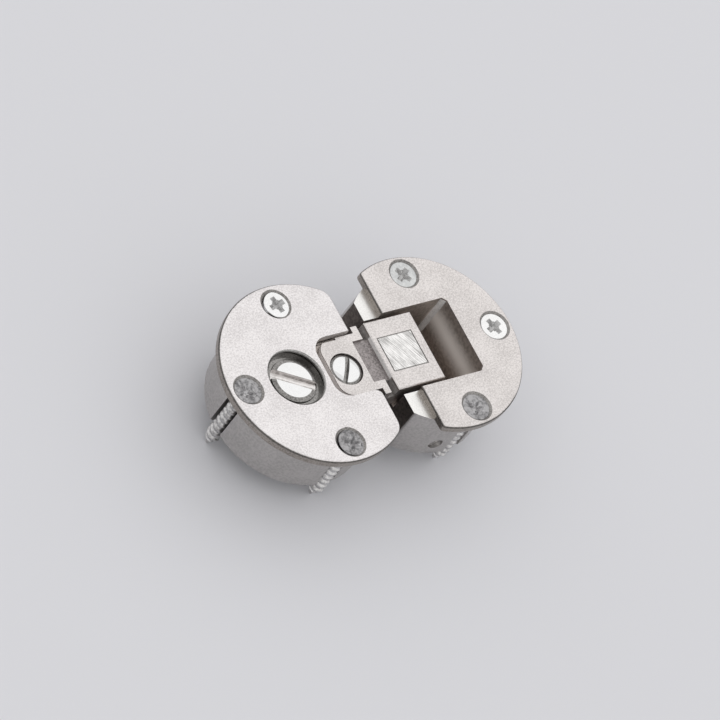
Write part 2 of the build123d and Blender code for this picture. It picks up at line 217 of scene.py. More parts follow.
class MetalGraph(Graph):
    """Shader tree of one metal finish."""

    def __init__(self, name: str) -> None:
        """Start a material with an empty tree.

        Args:
            name: The material's name.
        """
        self.material = bpy.data.materials.new(name)
        self.material.use_nodes = True
        super().__init__(self.material.node_tree)
        self.tree.nodes.clear()
        self.place = self.value("ShaderNodeTexCoord", "Object")

    def noise(
        self,
        size: float,
        detail: float = 2.0,
        rough: float = 0.5,
        stretch: Triple | None = None,
        turn: float = 0.0,
        seed: float = 0.0,
    ) -> Value:
        """Return a noise on Object coordinates.

        Args:
            size: Size of the pattern's cells in metres.
            detail: Octaves of finer noise.
            rough: Strength of the finer octaves.
            stretch: Scale along the turned axes, for brushed and drawn metal.
            turn: Turn of the pattern about Z in radians.
            seed: Offset that sets this pattern apart from others.

        Returns:
            The noise, about 0.5 on average.
        """
        place = self.value(
            "ShaderNodeMapping",
            0,
            {"vector_type": "TEXTURE"},
            {"Vector": self.place, "Location": (seed, seed, seed), "Rotation": (0.0, 0.0, turn)},
        )
        if stretch is not None:
            place = self.value("ShaderNodeVectorMath", 0, {"operation": "MULTIPLY"}, {0: place, 1: stretch})
        return self.value(
            "ShaderNodeTexNoise",
            "Fac",
            {"noise_dimensions": "3D"},
            {"Vector": place, "Scale": 1.0 / size, "Detail": detail, "Roughness": rough},
        )

    def mix(self, share: Operand, low: Union[Colour, Value], high: Union[Colour, Value]) -> Value:
        """Blend two colours.

        Args:
            share: 0 for the low colour, 1 for the high one.
            low: Colour at share 0.
            high: Colour at share 1.

        Returns:
            The blended colour.
        """
        node = self.tree.nodes.new("ShaderNodeMix")
        node.data_type = "RGBA"
        for name, value in (("Factor", share), ("A", low), ("B", high)):
            kind = "VALUE" if name == "Factor" else "RGBA"
            socket = next(s for s in node.inputs if s.name == name and s.type == kind)
            if isinstance(value, Value):
                self.tree.links.new(value.socket, socket)
            else:
                socket.default_value = value if name == "Factor" else (*value, 1.0)
        return Value(self, next(s for s in node.outputs if s.type == "RGBA"))

    def bump(self, height: Value, depth: float) -> Value:
        """Return the normal for a height map of the given depth in metres."""
        return self.value("ShaderNodeBump", 0, None, {"Height": height, "Distance": depth, "Strength": 1.0})

    def finish(
        self,
        colour: Union[Colour, Value],
        roughness: Operand,
        metallic: Operand,
        normal: Value | None = None,
    ) -> bpy.types.Material:
        """Join the values to the surface shader.

        Args:
            colour: One colour, or a value that changes over the surface.
            roughness: Roughness of the surface.
            metallic: 1 for bare metal, less where plating is dull.
            normal: Normal from a bump map, if there is one.

        Returns:
            The finished material.
        """
        inputs: dict[Union[str, int], Any] = {
            "Base Color": colour if isinstance(colour, Value) else (*colour, 1.0),
            "Roughness": roughness,
            "Metallic": metallic,
        }
        if normal is not None:
            inputs["Normal"] = normal
        shader = self.node("ShaderNodeBsdfPrincipled", None, inputs)
        self.node("ShaderNodeOutputMaterial", None, {"Surface": shader.outputs[0]})
        return self.material


# Finishes

@dataclass(frozen=True)
class CastSurface:
    """Nickel-plated zinc die casting: a pearly, finely mottled satin skin."""

    name: str
    light: Colour
    dark: Colour
    metallic: float = 1.0
    roughness: float = 0.36
    roughness_spread: float = 0.16
    mottle_size: float = 0.34 * MM
    grain_size: float = 0.13 * MM
    grain_depth: float = 0.012 * MM
    patch_size: float = 6.0 * MM
    patch_share: float = 0.25

    def build(self) -> bpy.types.Material:
        """Build the finish's node tree.

        Returns:
            The material.
        """
        graph = MetalGraph(self.name)
        mottle = graph.noise(self.mottle_size, 3.0, 0.62)
        grain = graph.noise(self.grain_size, 2.0, 0.55, seed=0.3)
        patch = graph.noise(self.patch_size, 2.0, 0.5, seed=0.7)
        blend = mottle * (1.0 - self.patch_share) + patch * self.patch_share
        share = graph.smooth(blend, *MOTTLE_RANGE)
        colour = graph.mix(share, self.dark, self.light)
        roughness = (grain - 0.5) * self.roughness_spread + self.roughness
        normal = graph.bump(mottle * 0.6 + grain * 0.4, self.grain_depth)
        return graph.finish(colour, roughness, self.metallic, normal)


@dataclass(frozen=True)
class PocketSurface:
    """Dull plating inside the flap's pocket, coloured darker as painted shade, with a painted highlight in a
    soft band across its end wall.
    """

    name: str = "pocket_painted_shade_and_highlight"
    # Painted shade: light and dark are well below the skin's colours.
    light: Colour = (0.54, 0.478, 0.44)
    dark: Colour = (0.36, 0.315, 0.286)
    # Painted highlight: polished is the near-white colour of the band, standing in for the bright reflection of
    # the concave end wall.
    polished: Colour = (0.98, 0.92, 0.87)
    band_height: float = -4.4 * MM
    band_half_width: float = 4.8 * MM
    metallic: float = 0.7
    wall_start: float = 36.5 * MM
    wall_end: float = 38.0 * MM
    roughness: float = 0.34
    roughness_spread: float = 0.2
    band_roughness: float = 0.2
    mottle_size: float = 0.8 * MM
    grain_depth: float = 0.01 * MM

    def build(self) -> bpy.types.Material:
        """Build the finish's node tree.

        Returns:
            The material.
        """
        graph = MetalGraph(self.name)
        place = graph.node("ShaderNodeSeparateXYZ", None, {0: graph.place})
        height, along = Value(graph, place.outputs["Z"]), Value(graph, place.outputs["X"])
        mottle = graph.noise(self.mottle_size, 3.0, 0.6)
        away = graph.maths("ABSOLUTE", (height - self.band_height) / self.band_half_width)
        on_wall = graph.smooth(along, self.wall_start, self.wall_end)
        # The band paints a highlight across the end wall, centred at band_height.
        band = (1.0 - graph.smooth(away, 0.0, 1.0)) * on_wall
        skin = graph.mix(graph.smooth(mottle, *MOTTLE_RANGE), self.dark, self.light)
        colour = graph.mix(band, skin, self.polished)
        roughness = (mottle - 0.5) * self.roughness_spread + band * self.band_roughness + self.roughness
        metallic = self.metallic - band * self.metallic
        return graph.finish(colour, roughness, metallic, graph.bump(mottle, self.grain_depth))


@dataclass(frozen=True)
class MachinedSurface:
    """Turned, ground or brushed metal, with fine lines in one direction."""

    name: str
    light: Colour
    dark: Colour
    roughness: float
    line_size: float = 0.06 * MM
    line_stretch: Triple = (0.02, 1.0, 1.0)
    line_turn: float = 0.0
    line_depth: float = 0.003 * MM
    stain_size: float = 2.2 * MM
    roughness_spread: float = 0.12

    def build(self) -> bpy.types.Material:
        """Build the finish's node tree.

        Returns:
            The material.
        """
        graph = MetalGraph(self.name)
        lines = graph.noise(self.line_size, 2.0, 0.6, self.line_stretch, self.line_turn)
        stain = graph.noise(self.stain_size, 3.0, 0.55, seed=0.4)
        share = graph.smooth(lines * 0.7 + stain * 0.3, 0.36, 0.6)
        colour = graph.mix(share, self.dark, self.light)
        roughness = (lines - 0.5) * self.roughness_spread + self.roughness
        normal = graph.bump(lines, self.line_depth)
        return graph.finish(colour, roughness, 1.0, normal)


def cast(name: str, light: Colour, dark: Colour, **settings: float) -> bpy.types.Material:
    """Return a cast finish with the given settings of CastSurface."""
    return CastSurface(name, light, dark, **settings).build()


def machined(name: str, light: Colour, dark: Colour, roughness: float, **settings: Any) -> bpy.types.Material:
    """Return a machined finish with the given settings of MachinedSurface."""
    return MachinedSurface(name, light, dark, roughness, **settings).build()


class Finishes:
    """Materials of the hinge, made once and shared by its pieces."""

    def __init__(self) -> None:
        """Build every material, each with its light and its dark colour."""
        self.skin = cast("satin_nickel_casting", (0.775, 0.747, 0.744), (0.575, 0.548, 0.546))
        self.flap_skin = cast(
            "satin_nickel_flap_casting", (0.7, 0.664, 0.648), (0.5, 0.47, 0.457),
        )
        # Painted shade: the sides of the flange rims are coloured dark, standing in for the dim reflection and
        # shade along them.
        self.rim = cast(
            "flange_rim_painted_shade", (0.4, 0.365, 0.335), (0.24, 0.215, 0.195), roughness=0.32,
        )
        # Painted shade: a near-black line along the tops of rims and edges, standing in for the dark reflection
        # of a rounded rim.
        self.rim_line = cast(
            "rim_line_painted_shade", (0.16, 0.15, 0.14), (0.08, 0.075, 0.07), roughness=0.3,
        )
        self.front = cast(
            "shaded_front", (0.2, 0.17, 0.155), (0.11, 0.095, 0.085), roughness=0.42, mottle_size=0.6 * MM,
        )
        # Painted shade: countersink walls are coloured darker and less metallic than the flange, standing in
        # for the shade in them.
        self.countersink = cast(
            "countersink_painted_shade", (0.36, 0.342, 0.328), (0.18, 0.171, 0.164), metallic=0.6, roughness=0.42,
        )
        # Painted shade: the walls of the eccentric screw's recess are coloured dark, standing in for the shade
        # in the recess; their low roughness is their own.
        self.head_recess_painted_shade = cast(
            "head_recess_painted_shade", (0.3, 0.29, 0.28), (0.18, 0.175, 0.168), roughness=0.15, roughness_spread=0.06,
            grain_depth=0.002 * MM,
        )
        # Painted shade: the turned lip round the eccentric's recess is coloured darker than the flange,
        # standing in for its dimmer reflection.
        self.recess_lip = cast(
            "turned_recess_lip_painted_shade", (0.46, 0.448, 0.438), (0.3, 0.292, 0.285), metallic=0.9, roughness=0.25,
            roughness_spread=0.08, grain_depth=0.004 * MM,
        )
        # Painted reflection: the turned rims of the screw heads are coloured dark, standing in for the dark
        # surroundings they reflect; the clamp screw's slot takes it too, as painted shade.
        self.cone = cast(
            "turned_cone_painted_reflection", (0.3, 0.29, 0.28), (0.13, 0.125, 0.12), roughness=0.2, roughness_spread=0.1,
            grain_depth=0.003 * MM,
        )
        # Burnished wear and painted highlight: the broken edges are coloured lighter than the skin, for wear
        # and for the highlights along them.
        self.edge = cast(
            "burnished_edge_and_painted_highlight", (0.88, 0.86, 0.84), (0.74, 0.72, 0.7), roughness=0.2, roughness_spread=0.08,
            grain_depth=0.004 * MM,
        )
        self.shoulder = cast(
            "bright_shoulder", (0.84, 0.83, 0.81), (0.73, 0.72, 0.7), roughness=0.34, roughness_spread=0.1,
            grain_depth=0.006 * MM,
        )
        # Painted shade: dull plating in recesses and on the arm's lower faces, coloured darker than the skin to
        # stand in for the shade there.
        self.recess = cast(
            "dull_recess_painted_shade", (0.66, 0.6, 0.56), (0.46, 0.415, 0.385), roughness=0.4, mottle_size=0.8 * MM,
            grain_depth=0.01 * MM, patch_share=0.45,
        )
        self.pocket = PocketSurface().build()
        # Painted shade: the hollow before the arm's block is coloured dark, standing in for the shade in it;
        # its roughness and grain are the rough cast's own.
        self.hollow = cast(
            "rough_hollow_painted_shade", (0.38, 0.347, 0.342), (0.19, 0.172, 0.17), roughness=0.5, mottle_size=0.35 * MM,
            grain_depth=0.03 * MM,
        )
        self.underside = cast(
            "raw_underside", (0.52, 0.5, 0.488), (0.42, 0.403, 0.393), roughness=0.42, mottle_size=0.5 * MM,
            grain_depth=0.015 * MM,
        )
        # Painted shade: the walls of the tab's recess in the base cup are coloured darker than the skin,
        # standing in for the shade between them and the arm.
        self.recess_wall_painted_shade = cast(
            "recess_wall_painted_shade", (0.66, 0.615, 0.59), (0.46, 0.425, 0.405), metallic=0.5, roughness=0.42,
            mottle_size=0.5 * MM,
        )
        # Painted highlight: a near-white, barely metallic colour that makes faces in shade read light: the
        # block's front face beside the hollow, and the far corner of the flap's pocket.
        self.step = cast(
            "painted_highlight_face", (0.95, 0.93, 0.92), (0.74, 0.72, 0.71), metallic=0.2, roughness=0.45,
            mottle_size=0.4 * MM,
        )
        # Painted shade: the ends of the groove across the arm are coloured dark brown, standing in for the
        # shade deep in them.
        self.groove_end_painted_shade = cast(
            "groove_end_painted_shade", (0.42, 0.395, 0.38), (0.26, 0.243, 0.235), metallic=0.3, roughness=0.5,
            mottle_size=0.5 * MM,
        )
        # Painted light: the tab's end face stands in shade at the bottom of a narrow gap; a near-white matt
        # colour makes it read light.
        self.tab_end_painted_light = cast(
            "tab_end_painted_light", (0.97, 0.94, 0.93), (0.8, 0.77, 0.76), metallic=0.0, roughness=0.5,
        )
        self.relief = cast(
            "relief_shade", (0.1, 0.09, 0.085), (0.05, 0.045, 0.04), roughness=0.6,
        )
        self.field = machined(
            "brushed_field", (0.84, 0.826, 0.812), (0.34, 0.332, 0.324), 0.3, line_size=0.15 * MM,
            line_stretch=(0.03, 1.0, 1.0), line_turn=math.radians(-62), line_depth=0.004 * MM,
        )
        # Painted shade: the engraved frame line round the brushed field is coloured dark, standing in for the
        # shade in the groove.
        self.groove_line = cast("engraved_line_painted_shade", (0.4, 0.385, 0.375), (0.26, 0.25, 0.243))
        self.mirror = machined(
            "polished_nickel", (0.76, 0.758, 0.755), (0.71, 0.708, 0.705), 0.07, line_size=0.2 * MM,
            line_stretch=(1.0, 1.0, 1.0), line_depth=0.0004 * MM,
        )
        self.slot_floor = machined(
            "milled_slot", (0.84, 0.81, 0.795), (0.3, 0.28, 0.268), 0.34, line_turn=math.radians(-32),
            line_stretch=(0.012, 1.0, 1.0), line_size=0.42 * MM, stain_size=1.1 * MM,
        )
        self.pin = machined(
            "ground_steel_pin", (0.62, 0.61, 0.6), (0.45, 0.44, 0.43), 0.22, line_stretch=(1.0, 0.03, 1.0),
        )
        self.spring = machined(
            "blued_spring_steel", (0.16, 0.165, 0.18), (0.07, 0.07, 0.08), 0.3, line_stretch=(1.0, 1.0, 1.0),
        )
        self.plate = machined(
            "rolled_plate_steel", (0.6, 0.59, 0.575), (0.4, 0.39, 0.38), 0.32, line_stretch=(0.04, 1.0, 1.0),
        )
        # Lit and shaded copies of one zinc plating: the heads' brightness differs partly by their plating and
        # partly as painted light and shade, standing in for the reflections of slightly tilted heads.
        self.zinc_bright = cast(
            "bright_lit_zinc", (0.8, 0.795, 0.79), (0.72, 0.715, 0.71), roughness=0.22, roughness_spread=0.1,
            mottle_size=0.3 * MM, grain_depth=0.003 * MM,
        )
        self.zinc_pale = cast(
            "pale_shaded_zinc", (0.6, 0.605, 0.6), (0.48, 0.485, 0.485), roughness=0.3, mottle_size=0.5 * MM,
            grain_depth=0.004 * MM,
        )
        self.zinc_dull = cast(
            "dull_shaded_zinc", (0.38, 0.372, 0.376), (0.12, 0.117, 0.12), roughness=0.36, mottle_size=0.9 * MM,
            grain_depth=0.03 * MM,
        )
        # Painted light: the cross recesses of the dull heads are coloured lighter and less metallic than the
        # head.
        self.zinc_dull_recess = cast(
            "dull_zinc_recess", (0.6, 0.59, 0.595), (0.28, 0.275, 0.28), metallic=0.55, roughness=0.4,
            mottle_size=0.5 * MM, grain_depth=0.02 * MM,
        )
        self.zinc_shank = cast(
            "zinc_shank", (0.62, 0.61, 0.605), (0.38, 0.37, 0.37), roughness=0.34, mottle_size=0.5 * MM,
            grain_depth=0.006 * MM,
        )
        # Painted shade: the cross recesses of the bright and pale heads are coloured darker and less metallic
        # than a bright head.
        self.zinc_recess = cast(
            "zinc_recess", (0.66, 0.655, 0.65), (0.44, 0.435, 0.43), metallic=0.3, roughness=0.5,
            mottle_size=0.3 * MM,
        )


# Mesh tools

def new_object(name: str, mesh: bpy.types.Mesh) -> bpy.types.Object:
    """Link a new object with the mesh to the scene and return it."""
    piece = bpy.data.objects.new(name, mesh)
    bpy.context.scene.collection.objects.link(piece)
    return piece


def freeze(piece: bpy.types.Object) -> bpy.types.Object:
    """Turn a piece's modifiers into plain mesh.

    Args:
        piece: The object whose modifiers are applied.

    Returns:
        The same object, with its evaluated mesh and no modifiers.
    """
    graph = bpy.context.evaluated_depsgraph_get()
    graph.update()
    mesh = bpy.data.meshes.new_from_object(piece.evaluated_get(graph), depsgraph=graph)
    old = piece.data
    piece.modifiers.clear()
    piece.data = mesh
    mesh.name = piece.name
    if old.users == 0:
        bpy.data.meshes.remove(old)
    return piece


def break_edges(piece: bpy.types.Object, width: float, angle: float, material: int = -1) -> None:
    """Add a small bevel on a piece's sharp edges.

    Args:
        piece: The object that gets the modifier.
        width: Width of the bevel in metres.
        angle: Angle in degrees above which an edge is broken.
        material: Index of the bevel's own finish, or -1 for that of its neighbours.
    """
    bevel = piece.modifiers.new("edge_break", "BEVEL")
    bevel.width = width
    bevel.segments = 2
    bevel.limit_method = "ANGLE"
    bevel.angle_limit = math.radians(angle)
    bevel.material = material


def shade(piece: bpy.types.Object, angle: float) -> None:
    """Shade a piece smooth, with its large faces flat.

    Args:
        piece: The object, whose modifiers are applied.
        angle: Angle in degrees above which an edge stays sharp.
    """
    mesh = piece.data
    mesh.polygons.foreach_set("use_smooth", [True] * len(mesh.polygons))
    mesh.set_sharp_from_angle(angle=math.radians(angle))
    mesh.update()
    weights = piece.modifiers.new("weighted_normals", "WEIGHTED_NORMAL")
    weights.keep_sharp = True
    weights.weight = 80
    freeze(piece)


def hand_over(piece: bpy.types.Object, body: Body, slot: Slot, *nodes: str) -> bpy.types.Object:
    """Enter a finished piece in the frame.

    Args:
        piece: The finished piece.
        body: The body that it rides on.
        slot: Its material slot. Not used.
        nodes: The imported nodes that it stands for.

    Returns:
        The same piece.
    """
    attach(piece, body.value)
    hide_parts(*nodes)
    LOG.info("%s: %d faces, rides on %s", piece.name, len(piece.data.polygons), body.value)
    return piece


@dataclass(frozen=True)
class Zone:
    """Faces of a casting that share a finish: those in a box of millimetres that look one way."""

    material: bpy.types.Material
    low: Triple
    high: Triple
    facing: Facing = Facing.ANY
    up_limit: float = 0.7
    rings: tuple[Triple, ...] = ()
    slack: float = 0.02

    def holds(self, corners: Sequence[Vector], normal: Vector) -> bool:
        """Return whether a face lies in the zone.

        Args:
            corners: The face's corners in millimetres.
            normal: The way the face looks.

        Returns:
            True if every corner is in the box, and in one of the rings if there are any.
        """
        slack = self.slack
        for corner in corners:
            if not all(a - slack <= c <= b + slack for a, c, b in zip(self.low, corner, self.high)):
                return False
            if self.rings and not any(
                math.hypot(corner.x - x, corner.y - y) < reach + slack for x, y, reach in self.rings
            ):
                return False
        if self.facing is Facing.UP:
            return normal.z > self.up_limit
        if self.facing is Facing.SIDEWAYS:
            return abs(normal.z) < self.up_limit
        return True


@dataclass
class Casting:
    """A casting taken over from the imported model, with its sharp edges broken."""

    node: str
    name: str
    body: Body
    slot: Slot
    skin: bpy.types.Material
    edge: bpy.types.Material
    zones: list[Zone] = field(default_factory=list)
    edge_break: float = 0.14 * MM
    edge_angle: float = 38.0
    smooth_angle: float = 32.0
    cuts: tuple[tuple[str, float], ...] = ()

    def build(self) -> bpy.types.Object:
        """Copy the node, merge its triangles, break its edges and dress its faces.

        Returns:
            The finished piece.
        """
        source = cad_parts[self.node]
        mesh = source.data.copy()
        mesh.materials.clear()
        self._merge(mesh)
        piece = new_object(self.name, mesh)
        mesh.materials.append(self.skin)
        mesh.materials.append(self.edge)
        break_edges(piece, self.edge_break, self.edge_angle, material=1)
        freeze(piece)
        self._cut(piece.data)
        self._dress(piece.data)
        shade(piece, self.smooth_angle)
        return hand_over(piece, self.body, self.slot, self.node)

    @staticmethod
    def _merge(mesh: bpy.types.Mesh) -> None:
        """Merge loose triangles to closed plane faces.

        Args:
            mesh: The casting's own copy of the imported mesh.
        """
        work = bmesh.new()
        work.from_mesh(mesh)
        bmesh.ops.remove_doubles(work, verts=work.verts, dist=TINY)
        bmesh.ops.dissolve_degenerate(work, edges=work.edges, dist=TINY)
        bmesh.ops.dissolve_limit(
            work,
            angle_limit=math.radians(0.4),
            use_dissolve_boundaries=False,
            verts=work.verts,
            edges=work.edges,
        )
        work.to_mesh(mesh)
        work.free()
        mesh.update()

    def _cut(self, mesh: bpy.types.Mesh) -> None:
        """Divide the faces along the casting's planes, so that a zone can end there.

        Args:
            mesh: The casting's mesh.
        """
        work = bmesh.new()
        work.from_mesh(mesh)
        for axis, place in self.cuts:
            along = Vector([1.0 if name == axis else 0.0 for name in "xyz"])
            bmesh.ops.bisect_plane(
                work,
                geom=[*work.verts, *work.edges, *work.faces],
                dist=0.0001 * MM,
                plane_co=along * (place * MM),
                plane_no=along,
            )
        work.to_mesh(mesh)
        work.free()

    def _dress(self, mesh: bpy.types.Mesh) -> None:
        """Give each face the finish of the first zone that holds it.

        Args:
            mesh: The casting's mesh, with its skin and edge finishes.
        """
        while len(mesh.materials) > 2:
            mesh.materials.pop(index=len(mesh.materials) - 1)
        places: dict[str, int] = {}
        for zone in self.zones:
            if zone.material.name not in places:
                places[zone.material.name] = len(mesh.materials)
                mesh.materials.append(zone.material)
        for face in mesh.polygons:
            corners = [mesh.vertices[i].co / MM for i in face.vertices]
            for zone in self.zones:
                if zone.holds(corners, face.normal):
                    face.material_index = places[zone.material.name]
                    break


# Slotted screws

def lathe(profile: Sequence[Pair], centre: Pair, around: int, name: str) -> bpy.types.Mesh:
    """Turn a closed solid.

    Args:
        profile: (radius, height) pairs in millimetres, top first.
        centre: Place of the axis in millimetres.
        around: Number of steps round the axis.
        name: The new mesh's name.

    Returns:
        The turned mesh, in metres.
    """
    work = bmesh.new()
    rings: list[list[bmesh.types.BMVert]] = []
    for radius, height in profile:
        if radius < 1e-6:
            rings.append([work.verts.new((centre[0] * MM, centre[1] * MM, height * MM))])
            continue
        ring = []
        for step in range(around):
            angle = 2 * math.pi * step / around
            x, y = centre[0] + radius * math.cos(angle), centre[1] + radius * math.sin(angle)
            ring.append(work.verts.new((x * MM, y * MM, height * MM)))
        rings.append(ring)
    for upper, lower in zip(rings, rings[1:]):
        for step in range(around):
            after = (step + 1) % around
            if len(upper) == 1:
                work.faces.new((upper[0], lower[step], lower[after]))
            elif len(lower) == 1:
                work.faces.new((upper[step], lower[0], upper[after]))
            else:
                work.faces.new((upper[step], lower[step], lower[after], upper[after]))
    if len(rings[0]) > 1:
        work.faces.new(rings[0])
    if len(rings[-1]) > 1:
        work.faces.new(list(reversed(rings[-1])))
    bmesh.ops.recalc_face_normals(work, faces=work.faces)
    mesh = bpy.data.meshes.new(name)
    work.to_mesh(mesh)
    work.free()
    return mesh


@dataclass
class SlottedScrew:
    """A screw that is turned on a lathe and has a milled slot across its head."""

    name: str
    node: str
    body: Body
    centre: Pair
    head: list[Pair]
    shank: list[Pair]
    slot_width: float
    slot_floor: float
    slot_turn: float
    slot_radius: float
    mirror: bpy.types.Material
    milled: bpy.types.Material
    side: bpy.types.Material
    cone: bpy.types.Material | None = None
    flat_radius: float = FAR
    cam: list[Pair] = field(default_factory=list)
    cam_shift: Pair = (0.0, 0.0)
    around: int = 112
    edge_break: float = 0.06 * MM
    edge_angle: float = 33.0
    smooth_angle: float = 26.0

    def build(self) -> bpy.types.Object:
        """Turn the head, mill its slot, add the cam and shank and dress the faces.

        Returns:
            The finished screw.
        """
        head = new_object(self.name, lathe(self.head, self.centre, self.around, "head"))
        cutter = new_object(self.name + "_cutter", self._slot_cutter())
        cut = head.modifiers.new("slot", "BOOLEAN")
        cut.operation = "DIFFERENCE"
        cut.solver = "EXACT"
        cut.object = cutter
        break_edges(head, self.edge_break, self.edge_angle)
        freeze(head)
        bpy.data.objects.remove(cutter)
        work = bmesh.new()
        work.from_mesh(head.data)
        for profile, (right, back) in ((self.cam, self.cam_shift), (self.shank, (0.0, 0.0))):
            if profile:
                centre = (self.centre[0] + right, self.centre[1] + back)
                part = lathe(profile, centre, self.around, "shank")
                work.from_mesh(part)
                bpy.data.meshes.remove(part)
        work.to_mesh(head.data)
        work.free()
        self._dress(head.data)
        shade(head, self.smooth_angle)
        return hand_over(head, self.body, Slot.POLISHED_NICKEL, self.node)

    def _slot_cutter(self) -> bpy.types.Mesh:
        """Make the milling cutter's path.

        Returns:
            A long bar with its floor at the slot's depth.
        """
        work = bmesh.new()
        bmesh.ops.create_cube(work, size=1.0)
        length, height = 3 * self.slot_radius, 4.0
        bmesh.ops.scale(work, vec=(length * MM, self.slot_width * MM, height * MM), verts=work.verts)
        turn = Matrix.Rotation(math.radians(self.slot_turn), 3, "Z")
        bmesh.ops.rotate(work, matrix=turn, verts=work.verts)
        shift = Vector((*self.centre, self.slot_floor + height / 2)) * MM
        bmesh.ops.translate(work, vec=shift, verts=work.verts)
        mesh = bpy.data.meshes.new("cutter")
        work.to_mesh(mesh)
        work.free()
        return mesh

    def _dress(self, mesh: bpy.types.Mesh) -> None:
        """Polish the top, and leave the slot milled and the hidden sides plain.

        Args:
            mesh: The screw's mesh.
        """
        mesh.materials.clear()
        for material in (self.mirror, self.milled, self.side, self.cone or self.mirror):
            mesh.materials.append(material)
        turn = math.radians(self.slot_turn)
        across = Vector((-math.sin(turn), math.cos(turn), 0.0))
        middle = Vector((*self.centre, 0.0))
        below_slot = self.slot_floor - 0.05
        for face in mesh.polygons:
            centre = face.center / MM
            from_slot = abs((centre - middle).dot(across))
            if from_slot < self.slot_width / 2 + 0.01 and centre.z > below_slot:
                face.material_index = 1
            elif centre.z < below_slot:
                face.material_index = 2
            # The rim outside flat_radius takes the cone finish, which paints a dark reflection there.
            elif math.hypot(centre.x - middle.x, centre.y - middle.y) > self.flat_radius:
                face.material_index = 3
            else:
                face.material_index = 0


# Fixing screws

